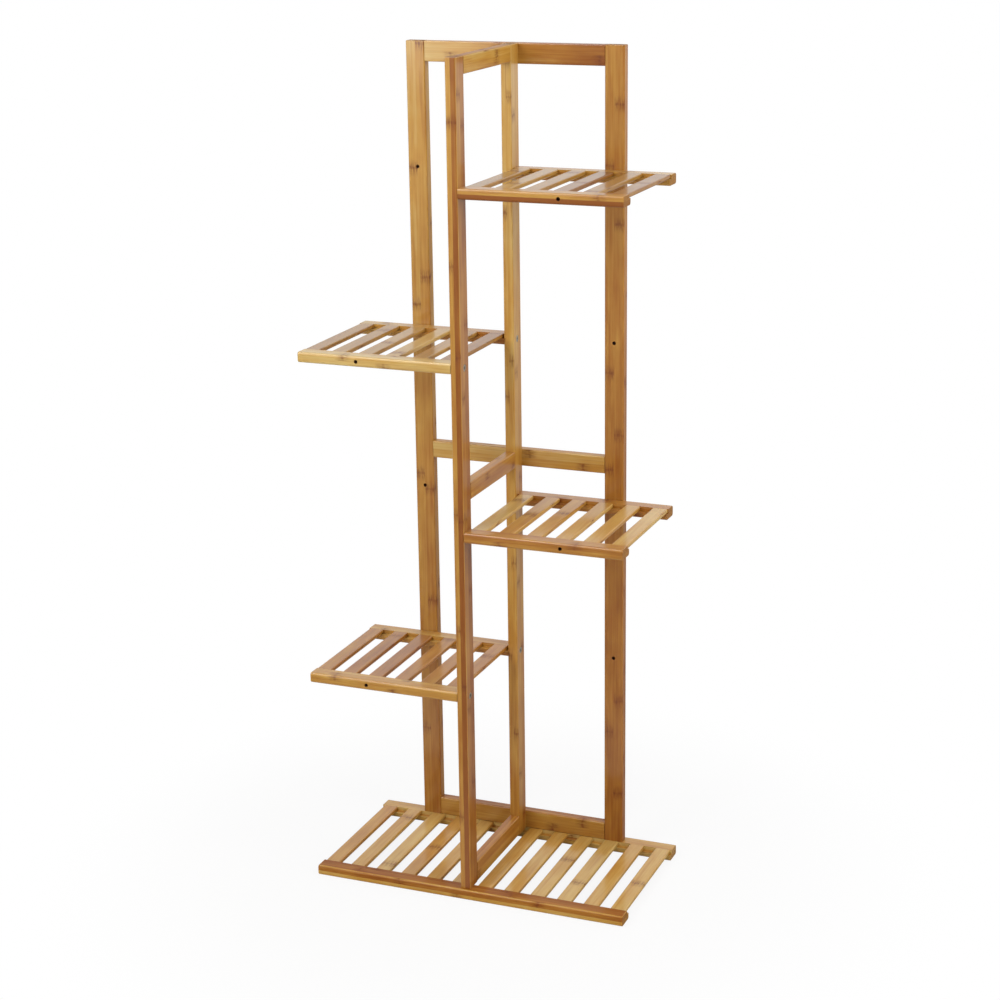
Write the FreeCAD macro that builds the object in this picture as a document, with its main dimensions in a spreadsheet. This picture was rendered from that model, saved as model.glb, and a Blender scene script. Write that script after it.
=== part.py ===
import FreeCAD, Part
import Sketcher
import math
import os

# Tiered plant stand in bamboo: a slatted base carries a back frame and a centre frame,
# which hold four slatted half shelves, staggered left and right.
# Millimetres, +X right, +Y back, +Z up, origin on the floor under the middle of the stand.

# Driving dimensions: name, value, meaning
DIMENSIONS = (
    ("base_length", 397, "length of the two base rails"),
    ("base_overhang", 5.5, "base rails past the front and the back of the frames"),
    ("base_offset", 3, "base centre to the right of the frames' centre plane"),
    ("stock_width", 24, "width of the posts and of the shelf and base rails"),
    ("stock_thickness", 12.5, "thickness of every post and rail"),
    ("post_length", 987.5, "length of the four posts, which stand on the base"),
    ("post_spread", 248, "rear posts, centre to centre"),
    ("frame_depth", 199, "front of the front centre post to the back of the rear posts"),
    ("back_bottom_rail_height", 23, "height of the back frame's bottom rail"),
    ("back_middle_rail_height", 21, "height of the back frame's middle rail"),
    ("back_top_rail_height", 24, "height of the back frame's top rail"),
    ("back_middle_rail_rise", 481, "post foot to the underside of the back middle rail"),
    ("cross_bottom_rail_height", 25.5, "height of the centre frame's bottom rail"),
    ("cross_middle_rail_height", 20.5, "height of the centre frame's middle rail"),
    ("cross_top_rail_height", 20, "height of the centre frame's top rail"),
    ("cross_middle_rail_rise", 484, "post foot to the underside of the cross middle rail"),
    ("shelf_reach", 198.5, "frames' centre plane to the outer end of a half shelf"),
    ("hole_rise", 246, "post foot to the lowest shelf hole"),
    ("hole_pitch", 198, "shelf hole to shelf hole"),
    ("slat_width", 18.5, "width of every slat"),
    ("slat_thickness", 5, "thickness of every slat and depth of the rabbet it lies in"),
    ("shelf_slat_inset", 1, "outer edge of a shelf's end slat to the end of its rails"),
    ("base_slat_inset", 2.75, "outer edge of a base end slat to the end of its rails"),
    ("slat_post_gap", 2.5, "inner slat of a half shelf to the side of the centre posts"),
    ("slat_end_clearance", 0.2, "slat end to the wall of its rabbet"),
    ("rabbet_width", 6, "width of the rabbet along the inner top edge of a rail"),
    ("post_edge_radius", 1.5, "rounding of the long edges of posts and frame rails"),
    ("rail_edge_radius", 3, "rounding of the long edges of shelf and base rails"),
    ("slat_edge_radius", 1.5, "rounding of the long edges of slats"),
    ("end_edge_radius", 0.8, "easing round the free ends of posts and rails"),
    ("screw_diameter", 4, "shank of every screw"),
    ("screw_head_diameter", 8, "countersunk head of every screw"),
    ("countersink_angle", 90, "whole angle of a screw head and of its countersink"),
    ("screw_head_recess", 0.2, "head below the face it is sunk into"),
    ("screw_clearance", 0.1, "screw to the wall of its hole"),
    ("screw_tip_length", 5, "pointed end of a screw"),
    ("shelf_screw_grip", 15, "shelf screw in its rail"),
    ("base_screw_grip", 20, "base screw in its post"),
    ("pilot_extra", 1, "pilot hole past the tip of its screw"),
    ("post_core_margin", 1.5, "dowel and frame screw tips short of the screws in a post's middle"),
    ("dowel_diameter", 6, "dowel at each end of a frame rail"),
    ("dowel_clearance", 0.05, "dowel to the wall of its hole"),
    ("dowel_rail_depth", 15, "dowel in its rail"),
    ("dowel_end_gap", 0.5, "dowel tip to the bottom of its hole"),
    ("dowel_chamfer", 0.8, "chamfer round a dowel's ends"),
)
QUARTER_TURN = math.pi / 2
SAME_DIRECTION = 1e-6
BASE_SLATS = 12
SHELF_SLATS = 6

# The half shelves from the bottom up, one at each shelf hole, and the side that each is on
LEFT, RIGHT = -1, 1
SHELVES = {
    "left_lower_shelf": LEFT,
    "right_lower_shelf": RIGHT,
    "left_upper_shelf": LEFT,
    "right_upper_shelf": RIGHT,
}

# Places and lengths that follow from the driving dimensions
FRAME_X = "(-Sizes.base_offset / 2)"
BASE_X = "(Sizes.base_offset / 2)"
POST_Z = "(Sizes.stock_thickness + Sizes.post_length / 2)"
FRONT_POST_Y = "(Sizes.stock_width / 2 - Sizes.frame_depth / 2)"
REAR_CENTRE_POST_Y = "(Sizes.frame_depth / 2 - Sizes.stock_thickness - Sizes.stock_width / 2)"
REAR_POST_Y = "(Sizes.frame_depth / 2 - Sizes.stock_thickness / 2)"
BASE_RAIL_Y = "(Sizes.frame_depth / 2 + Sizes.base_overhang - Sizes.stock_width / 2)"
MID_DEPTH_Y = "(-Sizes.stock_thickness / 2)"
BACK_RAIL_LENGTH = "(Sizes.post_spread - Sizes.stock_width)"
CROSS_RAIL_LENGTH = "(Sizes.frame_depth - Sizes.stock_thickness - 2 * Sizes.stock_width)"
SHELF_RAIL_LENGTH = "(Sizes.shelf_reach - Sizes.stock_thickness / 2)"
SHELF_RAIL_X = "((Sizes.shelf_reach + Sizes.stock_thickness / 2) / 2)"
LIP = "(Sizes.stock_width - Sizes.rabbet_width)"
SHELF_SLAT_LENGTH = (
    f"(Sizes.frame_depth - Sizes.stock_thickness - 2 * {LIP} - 2 * Sizes.slat_end_clearance)"
)
BASE_SLAT_LENGTH = (
    f"(Sizes.frame_depth + 2 * Sizes.base_overhang - 2 * {LIP} - 2 * Sizes.slat_end_clearance)"
)

# Heights above the post foot of the middles of the back rails and of the cross rails
BACK_RAILS = {
    "bottom": "(Sizes.back_bottom_rail_height / 2)",
    "middle": "(Sizes.back_middle_rail_rise + Sizes.back_middle_rail_height / 2)",
    "top": "(Sizes.post_length - Sizes.back_top_rail_height / 2)",
}
CROSS_RAILS = {
    "bottom": "(Sizes.cross_bottom_rail_height / 2)",
    "middle": "(Sizes.cross_middle_rail_rise + Sizes.cross_middle_rail_height / 2)",
    "top": "(Sizes.post_length - Sizes.cross_top_rail_height / 2)",
}

# Holes and what goes in them
SCREW_HOLE = "(Sizes.screw_diameter + 2 * Sizes.screw_clearance)"
SINK_SLOPE = "tan(Sizes.countersink_angle / 2)"
SCREW_SINK = (
    "(Sizes.screw_head_diameter + 2 * Sizes.screw_clearance"
    f" + 2 * Sizes.screw_head_recess * {SINK_SLOPE})"
)
DOWEL_HOLE = "(Sizes.dowel_diameter + 2 * Sizes.dowel_clearance)"
POST_EDGE_DEPTH = "(Sizes.stock_width / 2 - Sizes.screw_diameter / 2 - Sizes.post_core_margin)"

doc = FreeCAD.newDocument("plant_stand")
sheet = doc.addObject("Spreadsheet::Sheet", "Sizes")
for row, (name, number, meaning) in enumerate(DIMENSIONS, start=1):
    sheet.set(f"A{row}", name)
    sheet.set(f"B{row}", str(number))
    sheet.setAlias(f"B{row}", name)
    sheet.set(f"C{row}", meaning)
doc.recompute()

nodes = []


def value(expression):
    """The present number of an expression, for drawing a sketch near its solution."""
    return float(sheet.evalExpression(expression))


def shelf_hole(index):
    """Height above the post foot of one of the four shelf holes."""
    return f"(Sizes.hole_rise + {index} * Sizes.hole_pitch)"


def new_body(name):
    body = doc.addObject("PartDesign::Body", name)
    body.Label = name
    return body


def place(item, across, back, up):
    """Bind the place of a sub-part to the sheet."""
    item.setExpression("Placement.Base.x", across)
    item.setExpression("Placement.Base.y", back)
    item.setExpression("Placement.Base.z", up)


def new_sketch(body, name, plane, offset="0"):
    """A sketch on one of the body's own planes, moved along the plane's normal."""
    planes = {feature.Role: feature for feature in body.Origin.OriginFeatures}
    sketch = body.newObject("Sketcher::SketchObject", f"{body.Name}_{name}")
    sketch.AttachmentSupport = [(planes[plane], "")]
    sketch.MapMode = "FlatFace"
    sketch.setExpression("AttachmentOffset.Base.z", offset)
    return sketch


def bind(sketch, name, constraint, expression):
    index = sketch.addConstraint(constraint)
    sketch.renameConstraint(index, name)
    sketch.setExpression(f"Constraints.{name}", expression)


def fix_point(sketch, name, geometry, point, across, up):
    """Hold a point of a sketch at a place; None holds it on the axis."""
    if across is None:
        sketch.addConstraint(Sketcher.Constraint("PointOnObject", geometry, point, -2))
    else:
        bound = Sketcher.Constraint("DistanceX", -1, 1, geometry, point, value(across))
        bind(sketch, f"{name}_across", bound, across)
    if up is None:
        sketch.addConstraint(Sketcher.Constraint("PointOnObject", geometry, point, -1))
    else:
        bound = Sketcher.Constraint("DistanceY", -1, 1, geometry, point, value(up))
        bind(sketch, f"{name}_up", bound, up)


def draw_rounded_section(sketch, width, height, radius):
    """A rectangle about the sketch's origin with four equal rounded corners."""
    half_width, half_height, round_off = value(width) / 2, value(height) / 2, value(radius)
    inner_x, inner_y = half_width - round_off, half_height - round_off
    corners = ((1, -1), (1, 1), (-1, 1), (-1, -1))
    ends = [
        (FreeCAD.Vector(-inner_x, -half_height), FreeCAD.Vector(inner_x, -half_height)),
        (FreeCAD.Vector(half_width, -inner_y), FreeCAD.Vector(half_width, inner_y)),
        (FreeCAD.Vector(inner_x, half_height), FreeCAD.Vector(-inner_x, half_height)),
        (FreeCAD.Vector(-half_width, inner_y), FreeCAD.Vector(-half_width, -inner_y)),
    ]
    sides = [sketch.addGeometry(Part.LineSegment(*pair), False) for pair in ends]
    rounds = []
    for turn, (right, top) in enumerate(corners, start=-1):
        centre = FreeCAD.Vector(right * inner_x, top * inner_y)
        circle = Part.Circle(centre, FreeCAD.Vector(0, 0, 1), round_off)
        arc = Part.ArcOfCircle(circle, turn * QUARTER_TURN, (turn + 1) * QUARTER_TURN)
        rounds.append(sketch.addGeometry(arc, False))
    for index, side in enumerate(sides):
        after = sides[(index + 1) % len(sides)]
        sketch.addConstraint(Sketcher.Constraint("Tangent", side, 2, rounds[index], 1))
        sketch.addConstraint(Sketcher.Constraint("Tangent", rounds[index], 2, after, 1))
    bottom, right_side, top_side, left_side = sides
    for level in (bottom, top_side):
        sketch.addConstraint(Sketcher.Constraint("Horizontal", level))
    for upright in (right_side, left_side):
        sketch.addConstraint(Sketcher.Constraint("Vertical", upright))
    for other in rounds[1:]:
        sketch.addConstraint(Sketcher.Constraint("Equal", rounds[0], other))
    sketch.addConstraint(Sketcher.Constraint("Symmetric", rounds[3], 3, rounds[1], 3, -1, 1))
    bind(sketch, "corner", Sketcher.Constraint("Radius", rounds[0], round_off), radius)
    across = Sketcher.Constraint("DistanceX", left_side, 1, right_side, 1, 2 * half_width)
    bind(sketch, "width", across, width)
    upward = Sketcher.Constraint("DistanceY", bottom, 1, top_side, 1, 2 * half_height)
    bind(sketch, "height", upward, height)


def draw_outline(sketch, corners):
    """A closed outline of straight lines through corners held at their places."""
    spots = [
        FreeCAD.Vector(value(across or "0"), value(up or "0"), 0) for across, up in corners
    ]
    lines = [
        sketch.addGeometry(Part.LineSegment(spot, spots[(index + 1) % len(spots)]), False)
        for index, spot in enumerate(spots)
    ]
    for index, line in enumerate(lines):
        after = lines[(index + 1) % len(lines)]
        sketch.addConstraint(Sketcher.Constraint("Coincident", line, 2, after, 1))
        fix_point(sketch, f"corner_{index}", line, 1, *corners[index])


def stick(name, plane, width, height, radius, length):
    """A straight bar of rounded section, centred on its own origin."""
    body = new_body(name)
    section = new_sketch(body, "section", plane)
    draw_rounded_section(section, width, height, radius)
    pad = body.newObject("PartDesign::Pad", f"{name}_bar")
    pad.Profile = section
    pad.setExpression("Length", length)
    pad.SideType = "Symmetric"
    doc.recompute()
    nodes.append(body)
    return body


def ease_ends(body, directions):
    """Round the edges of the end faces that look along the given directions."""
    bar = body.Tip
    faces = []
    for index, face in enumerate(bar.Shape.Faces, start=1):
        outward = face.normalAt(*face.ParameterRange[::2])
        if any(outward.isEqual(FreeCAD.Vector(*way), SAME_DIRECTION) for way in directions):
            faces.append(f"Face{index}")
    easing = body.newObject("PartDesign::Fillet", f"{body.Name}_eased_ends")
    easing.Base = (bar, faces)
    easing.setExpression("Radius", "Sizes.end_edge_radius")
    doc.recompute()


def cut_rabbet(body, inward):
    """The step along a rail's inner top edge that the slats lie in."""
    sketch = new_sketch(body, "rabbet_section", "YZ_Plane")
    wall = f"({inward} * (Sizes.stock_width / 2 - Sizes.rabbet_width))"
    clear = f"({inward} * Sizes.stock_width)"
    floor = "(Sizes.stock_thickness / 2 - Sizes.slat_thickness)"
    above = "Sizes.stock_thickness"
    draw_outline(sketch, [(wall, floor), (clear, floor), (clear, above), (wall, above)])
    rabbet = body.newObject("PartDesign::Pocket", f"{body.Name}_rabbet")
    rabbet.Profile = sketch
    rabbet.Type = "ThroughAll"
    rabbet.SideType = "Symmetric"
    doc.recompute()


def drill(body, name, plane, face, outward, spots, bore, depth=None, sink=None):
    """Holes of one kind into the face that looks along or against a plane's normal."""
    sketch = new_sketch(body, f"{name}_spots", plane, f"{outward} * {face}")
    for index, (across, up) in enumerate(spots):
        centre = FreeCAD.Vector(value(across or "0"), value(up or "0"), 0)
        circle = Part.Circle(centre, FreeCAD.Vector(0, 0, 1), value(bore) / 2)
        spot = sketch.addGeometry(circle, False)
        fix_point(sketch, f"spot_{index}", spot, 3, across, up)
        bind(sketch, f"bore_{index}", Sketcher.Constraint("Diameter", spot, value(bore)), bore)
    hole = body.newObject("PartDesign::Hole", f"{body.Name}_{name}")
    hole.Profile = sketch
    doc.recompute()
    hole.Reversed = outward < 0
    hole.Threaded = False
    hole.setExpression("Diameter", bore)
    if depth is None:
        hole.DepthType = "ThroughAll"
    else:
        hole.DepthType = "Dimension"
        hole.DrillPoint = "Flat"
        hole.setExpression("Depth", depth)
    if sink is not None:
        hole.HoleCutType = "Countersink"
        hole.HoleCutCustomValues = True
        hole.setExpression("HoleCutCountersinkAngle", "Sizes.countersink_angle")
        hole.setExpression("HoleCutDiameter", sink)
    doc.recompute()


def up_post(height):
    """A height above the post foot, counted from the middle of the post."""
    return f"({height} - Sizes.post_length / 2)"


def pilot_depth(grip):
    return f"({grip} + Sizes.pilot_extra)"


def make_post(name, width, depth):
    post = stick(name, "XY_Plane", width, depth, "Sizes.post_edge_radius", "Sizes.post_length")
    ease_ends(post, [(0, 0, 1)])
    return post


def drill_dowels(post, plane, outward, rails):
    """The dowel holes in the inner face of a post, one for each rail that meets it."""
    spots = [(None, up_post(height)) for height in rails.values()]
    depth = f"({POST_EDGE_DEPTH} + Sizes.dowel_end_gap)"
    drill(post, "dowel_holes", plane, "(Sizes.stock_width / 2)", outward, spots, DOWEL_HOLE, depth)


def drill_foot(post, back):
    """The pilot hole for the screw that comes up through the base."""
    depth = pilot_depth("Sizes.base_screw_grip")
    half = "(Sizes.post_length / 2)"
    drill(post, "foot_pilot", "XY_Plane", half, -1, [(None, back)], SCREW_HOLE, depth)


def make_rear_post(name, side):
    """A post at the back, with the row of shelf holes countersunk from behind."""
    post = make_post(name, "Sizes.stock_width", "Sizes.stock_thickness")
    heights = [(None, up_post(shelf_hole(index))) for index in range(len(SHELVES))]
    half = "(Sizes.stock_thickness / 2)"
    drill(post, "shelf_holes", "XZ_Plane", half, -1, heights, SCREW_HOLE, sink=SCREW_SINK)
    drill_dowels(post, "YZ_Plane", -side, BACK_RAILS)
    drill_foot(post, None)
    place(post, f"{FRAME_X} + {side} * Sizes.post_spread / 2", REAR_POST_Y, POST_Z)


def make_centre_post(name, back):
    """A post of the centre frame; each shelf's screws are sunk on the side away from it."""
    post = make_post(name, "Sizes.stock_thickness", "Sizes.stock_width")
    half = "(Sizes.stock_thickness / 2)"
    for label, side in (("left_shelf_holes", LEFT), ("right_shelf_holes", RIGHT)):
        heights = [shelf_hole(index) for index, way in enumerate(SHELVES.values()) if way == side]
        spots = [(None, up_post(height)) for height in heights]
        drill(post, label, "YZ_Plane", half, -side, spots, SCREW_HOLE, sink=SCREW_SINK)
    place(post, FRAME_X, back, POST_Z)
    return post


def make_back_rail(level, height_name):
    """A rail between the rear posts, dowelled at its ends and screwed to the centre frame."""
    height = f"Sizes.{height_name}"
    name = f"back_{level}_rail"
    radius = "Sizes.post_edge_radius"
    rail = stick(name, "YZ_Plane", "Sizes.stock_thickness", height, radius, BACK_RAIL_LENGTH)
    depth = "(Sizes.dowel_rail_depth + Sizes.dowel_end_gap)"
    for end, outward in (("left", -1), ("right", 1)):
        half = f"({BACK_RAIL_LENGTH} / 2)"
        drill(rail, f"{end}_dowel_hole", "YZ_Plane", half, outward, [(None, None)], DOWEL_HOLE, depth)
    half = "(Sizes.stock_thickness / 2)"
    drill(rail, "frame_hole", "XZ_Plane", half, -1, [(None, None)], SCREW_HOLE, sink=SCREW_SINK)
    place(rail, FRAME_X, REAR_POST_Y, f"Sizes.stock_thickness + {BACK_RAILS[level]}")


def make_cross_rail(level, height_name):
    """A rail from the front centre post to the rear centre post, dowelled at its ends."""
    height = f"Sizes.{height_name}"
    name = f"cross_{level}_rail"
    radius = "Sizes.post_edge_radius"
    rail = stick(name, "XZ_Plane", "Sizes.stock_thickness", height, radius, CROSS_RAIL_LENGTH)
    depth = "(Sizes.dowel_rail_depth + Sizes.dowel_end_gap)"
    for end, outward in (("front", 1), ("rear", -1)):
        half = f"({CROSS_RAIL_LENGTH} / 2)"
        drill(rail, f"{end}_dowel_hole", "XZ_Plane", half, outward, [(None, None)], DOWEL_HOLE, depth)
    place(rail, FRAME_X, MID_DEPTH_Y, f"Sizes.stock_thickness + {CROSS_RAILS[level]}")


def make_flat_rail(name, length, ends, inward):
    """A rail of a shelf or of the base, lying flat, with its rabbet on the inner side."""
    width, thickness, radius = "Sizes.stock_width", "Sizes.stock_thickness", "Sizes.rail_edge_radius"
    rail = stick(name, "YZ_Plane", width, thickness, radius, length)
    ease_ends(rail, [(end, 0, 0) for end in ends])
    cut_rabbet(rail, inward)
    return rail


def make_slat(name, length):
    radius = "Sizes.slat_edge_radius"
    return stick(name, "XZ_Plane", "Sizes.slat_width", "Sizes.slat_thickness", radius, length)


def make_base():
    """Two rails on the floor with the row of slats let in between them."""
    post_row = f"({REAR_POST_Y} - {BASE_RAIL_Y})"
    centre_spot = "(-Sizes.base_offset)"
    half = "(Sizes.stock_thickness / 2)"
    for label, row, spots in (
        ("base_front_rail", -1, [centre_spot]),
        ("base_back_rail", 1, [f"{centre_spot} {sign} Sizes.post_spread / 2" for sign in "-+"]),
    ):
        rail = make_flat_rail(label, "Sizes.base_length", (LEFT, RIGHT), -row)
        places = [(across, f"{row} * {post_row}") for across in spots]
        drill(rail, "post_holes", "XY_Plane", half, -1, places, SCREW_HOLE, sink=SCREW_SINK)
        place(rail, BASE_X, f"{row} * {BASE_RAIL_Y}", half)
    outer = "(Sizes.base_length / 2 - Sizes.base_slat_inset - Sizes.slat_width / 2)"
    for index in range(BASE_SLATS):
        slat = make_slat(f"base_slat_{index + 1:02d}", BASE_SLAT_LENGTH)
        across = f"{BASE_X} + {outer} * {2 * index - BASE_SLATS + 1} / {BASE_SLATS - 1}"
        place(slat, across, "0", "Sizes.stock_thickness - Sizes.slat_thickness / 2")


def make_shelf(name, side, index):
    """A half shelf: a front and a back rail screwed to the posts, and slats between them."""
    level = f"(Sizes.stock_thickness + {shelf_hole(index)})"
    grip = pilot_depth("Sizes.shelf_screw_grip")
    half_length = f"({SHELF_RAIL_LENGTH} / 2)"
    post_line = f"({side} * (Sizes.post_spread / 2 - {SHELF_RAIL_X}))"
    for label, row, back in (("front", -1, FRONT_POST_Y), ("back", 1, REAR_CENTRE_POST_Y)):
        rail = make_flat_rail(f"{name}_{label}_rail", SHELF_RAIL_LENGTH, (side,), -row)
        drill(rail, "end_pilot", "YZ_Plane", half_length, -side, [(None, None)], SCREW_HOLE, grip)
        half = "(Sizes.stock_width / 2)"
        drill(rail, "face_pilot", "XZ_Plane", half, -row, [(post_line, None)], SCREW_HOLE, grip)
        place(rail, f"{FRAME_X} + {side} * {SHELF_RAIL_X}", back, level)
    inner = "(Sizes.stock_thickness / 2 + Sizes.slat_post_gap + Sizes.slat_width / 2)"
    outer = "(Sizes.shelf_reach - Sizes.shelf_slat_inset - Sizes.slat_width / 2)"
    top = f"{level} + Sizes.stock_thickness / 2 - Sizes.slat_thickness / 2"
    for step in range(SHELF_SLATS):
        slat = make_slat(f"{name}_slat_{step + 1}", SHELF_SLAT_LENGTH)
        reach = f"({inner} + ({outer} - {inner}) * {step} / {SHELF_SLATS - 1})"
        place(slat, f"{FRAME_X} + {side} * {reach}", MID_DEPTH_Y, top)


def turned_body(name, corners):
    """A round piece turned about its own Z axis from half of its outline."""
    body = new_body(name)
    profile = new_sketch(body, "profile", "XZ_Plane")
    draw_outline(profile, corners)
    turned = body.newObject("PartDesign::Revolution", f"{name}_turned")
    turned.Profile = profile
    turned.ReferenceAxis = (profile, ["V_Axis"])
    turned.Angle = 360
    doc.recompute()
    return body


def make_screw(name, grip):
    """A countersunk screw through one thickness of stock, head up with its top at the origin."""
    head, shank = "(Sizes.screw_head_diameter / 2)", "(Sizes.screw_diameter / 2)"
    length = f"(Sizes.stock_thickness - Sizes.screw_head_recess + {grip})"
    corners = [
        (None, None),
        (head, None),
        (shank, f"(({shank} - {head}) / {SINK_SLOPE})"),
        (shank, f"(Sizes.screw_tip_length - {length})"),
        (None, f"(-{length})"),
    ]
    return turned_body(name, corners)


def make_dowel(name):
    """A chamfered dowel along Z, its post end below the origin and its rail end above."""
    radius = "(Sizes.dowel_diameter / 2)"
    neck = f"({radius} - Sizes.dowel_chamfer)"
    foot, top = f"(-{POST_EDGE_DEPTH})", "Sizes.dowel_rail_depth"
    corners = [
        (None, foot),
        (neck, foot),
        (radius, f"({foot} + Sizes.dowel_chamfer)"),
        (radius, f"({top} - Sizes.dowel_chamfer)"),
        (neck, top),
        (None, top),
    ]
    return turned_body(name, corners)


# Turns that bring a fastener's Z axis to each direction
TURNS = {
    "+X": FreeCAD.Rotation(FreeCAD.Vector(0, 1, 0), 90),
    "-X": FreeCAD.Rotation(FreeCAD.Vector(0, 1, 0), -90),
    "+Y": FreeCAD.Rotation(FreeCAD.Vector(1, 0, 0), -90),
    "-Y": FreeCAD.Rotation(FreeCAD.Vector(1, 0, 0), 90),
    "-Z": FreeCAD.Rotation(FreeCAD.Vector(1, 0, 0), 180),
}


def repeat(name, master, spots):
    """Copies of one fastener at several places, together one sub-part of separate solids."""
    copies = []
    for index, (way, across, back, up) in enumerate(spots, start=1):
        copy = doc.addObject("App::Link", f"{name}_{index}")
        copy.LinkedObject = master
        copy.Placement = FreeCAD.Placement(FreeCAD.Vector(), TURNS[way])
        place(copy, across, back, up)
        copies.append(copy)
    group = doc.addObject("Part::Compound", name)
    group.Label = name
    group.Links = copies
    nodes.append(group)


def make_fasteners():
    """The screws and dowels that hold the stand together."""
    recess = "Sizes.screw_head_recess"
    back_face = f"(Sizes.frame_depth / 2 - {recess})"
    side_face = f"(Sizes.stock_thickness / 2 - {recess})"
    shelf_spots = []
    for index, side in enumerate(SHELVES.values()):
        level = f"Sizes.stock_thickness + {shelf_hole(index)}"
        away = "+X" if side == LEFT else "-X"
        for back in (FRONT_POST_Y, REAR_CENTRE_POST_Y):
            shelf_spots.append((away, f"{FRAME_X} - {side} * {side_face}", back, level))
        shelf_spots.append(("+Y", f"{FRAME_X} + {side} * Sizes.post_spread / 2", back_face, level))
    repeat("shelf_screws", make_screw("shelf_screw", "Sizes.shelf_screw_grip"), shelf_spots)

    frame_spots = [
        ("+Y", FRAME_X, back_face, f"Sizes.stock_thickness + {height}")
        for height in BACK_RAILS.values()
    ]
    repeat("frame_screws", make_screw("frame_screw", POST_EDGE_DEPTH), frame_spots)

    base_spots = [("-Z", FRAME_X, f"-{REAR_POST_Y}", recess)]
    for side in (LEFT, RIGHT):
        across = f"{FRAME_X} + {side} * Sizes.post_spread / 2"
        base_spots.append(("-Z", across, REAR_POST_Y, recess))
    repeat("base_screws", make_screw("base_screw", "Sizes.base_screw_grip"), base_spots)

    dowel_spots = []
    for height in BACK_RAILS.values():
        level = f"Sizes.stock_thickness + {height}"
        for side, inward in ((LEFT, "+X"), (RIGHT, "-X")):
            across = f"{FRAME_X} + {side} * {BACK_RAIL_LENGTH} / 2"
            dowel_spots.append((inward, across, REAR_POST_Y, level))
    for height in CROSS_RAILS.values():
        level = f"Sizes.stock_thickness + {height}"
        for row, inward in ((-1, "+Y"), (1, "-Y")):
            back = f"{MID_DEPTH_Y} + {row} * {CROSS_RAIL_LENGTH} / 2"
            dowel_spots.append((inward, FRAME_X, back, level))
    repeat("frame_dowels", make_dowel("frame_dowel"), dowel_spots)


# Back frame
make_rear_post("left_rear_post", LEFT)
make_rear_post("right_rear_post", RIGHT)
for level in BACK_RAILS:
    make_back_rail(level, f"back_{level}_rail_height")

# Centre frame
front_centre_post = make_centre_post("front_centre_post", FRONT_POST_Y)
drill_dowels(front_centre_post, "XZ_Plane", -1, CROSS_RAILS)
drill_foot(front_centre_post, f"(-{REAR_POST_Y} - {FRONT_POST_Y})")
rear_centre_post = make_centre_post("rear_centre_post", REAR_CENTRE_POST_Y)
drill_dowels(rear_centre_post, "XZ_Plane", 1, CROSS_RAILS)
frame_pilots = [(None, up_post(height)) for height in BACK_RAILS.values()]
drill(rear_centre_post, "frame_pilots", "XZ_Plane", "(Sizes.stock_width / 2)", -1, frame_pilots,
      SCREW_HOLE, pilot_depth(POST_EDGE_DEPTH))
for level in CROSS_RAILS:
    make_cross_rail(level, f"cross_{level}_rail_height")

# Base, shelves and fasteners
make_base()
for index, (name, side) in enumerate(SHELVES.items()):
    make_shelf(name, side, index)
make_fasteners()
doc.recompute()

# Every feature and every sub-part is sound before anything is written
for item in doc.Objects:
    if "Invalid" in item.State or "Error" in item.State:
        raise RuntimeError(f"{item.Label} did not recompute: {item.State}")
for node in nodes:
    if node.Shape.isNull() or not node.Shape.isValid():
        raise RuntimeError(f"{node.Label} has no sound shape")

os.makedirs("parts", exist_ok=True)
for node in nodes:
    node.Shape.exportStep(f"parts/{node.Label}.step")
    print(f"{node.Label}: {len(node.Shape.Solids)} solid, {node.Shape.Volume:.1f} cubic mm")
box = Part.makeCompound([node.Shape for node in nodes]).BoundBox
print(f"{len(nodes)} sub-parts, {box.XLength:.2f} x {box.YLength:.2f} x {box.ZLength:.2f} mm")
print(f"from {box.XMin:.2f}, {box.YMin:.2f}, {box.ZMin:.2f}")
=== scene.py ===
import math

import bpy
from mathutils import Matrix, Vector


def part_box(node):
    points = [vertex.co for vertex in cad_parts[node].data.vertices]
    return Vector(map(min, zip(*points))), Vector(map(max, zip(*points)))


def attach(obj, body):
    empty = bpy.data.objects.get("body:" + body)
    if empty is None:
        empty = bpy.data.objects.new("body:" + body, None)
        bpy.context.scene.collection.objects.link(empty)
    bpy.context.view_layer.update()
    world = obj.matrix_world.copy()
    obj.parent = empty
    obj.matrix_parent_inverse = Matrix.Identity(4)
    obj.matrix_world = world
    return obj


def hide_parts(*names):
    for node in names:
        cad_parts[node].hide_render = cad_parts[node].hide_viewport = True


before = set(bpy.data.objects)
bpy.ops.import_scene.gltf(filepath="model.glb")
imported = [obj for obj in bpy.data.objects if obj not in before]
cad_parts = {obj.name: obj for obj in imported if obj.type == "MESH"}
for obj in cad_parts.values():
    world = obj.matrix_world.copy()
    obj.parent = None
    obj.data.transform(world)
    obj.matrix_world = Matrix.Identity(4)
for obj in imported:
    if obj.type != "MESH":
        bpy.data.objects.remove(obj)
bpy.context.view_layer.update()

# Bamboo plant stand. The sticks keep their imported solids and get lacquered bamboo.
# The screws are modelled anew, with cross recesses and threads.
# Metres, +X right, +Y back, +Z up, origin on the floor under the middle of the stand.

MM = 0.001
WHITE = (1, 1, 1, 1)
STICKS = sorted(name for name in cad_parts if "screw" not in name and "dowel" not in name)

# The half shelves, and the side of the centre posts that each is on
SHELVES = {"left_lower": -1, "right_lower": 1, "left_upper": -1, "right_upper": 1}


def srgb(red, green, blue):
    """A colour as it looks on a screen, 0 to 255, as the linear colour that a shader takes."""
    linear = []
    for level in (red, green, blue):
        share = level / 255
        linear.append(share / 12.92 if share <= 0.04045 else ((share + 0.055) / 1.055) ** 2.4)
    return (*linear, 1.0)


def middle(name):
    """The middle of a node's box."""
    low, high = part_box(name)
    return (low + high) / 2


# Shader maths

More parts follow.
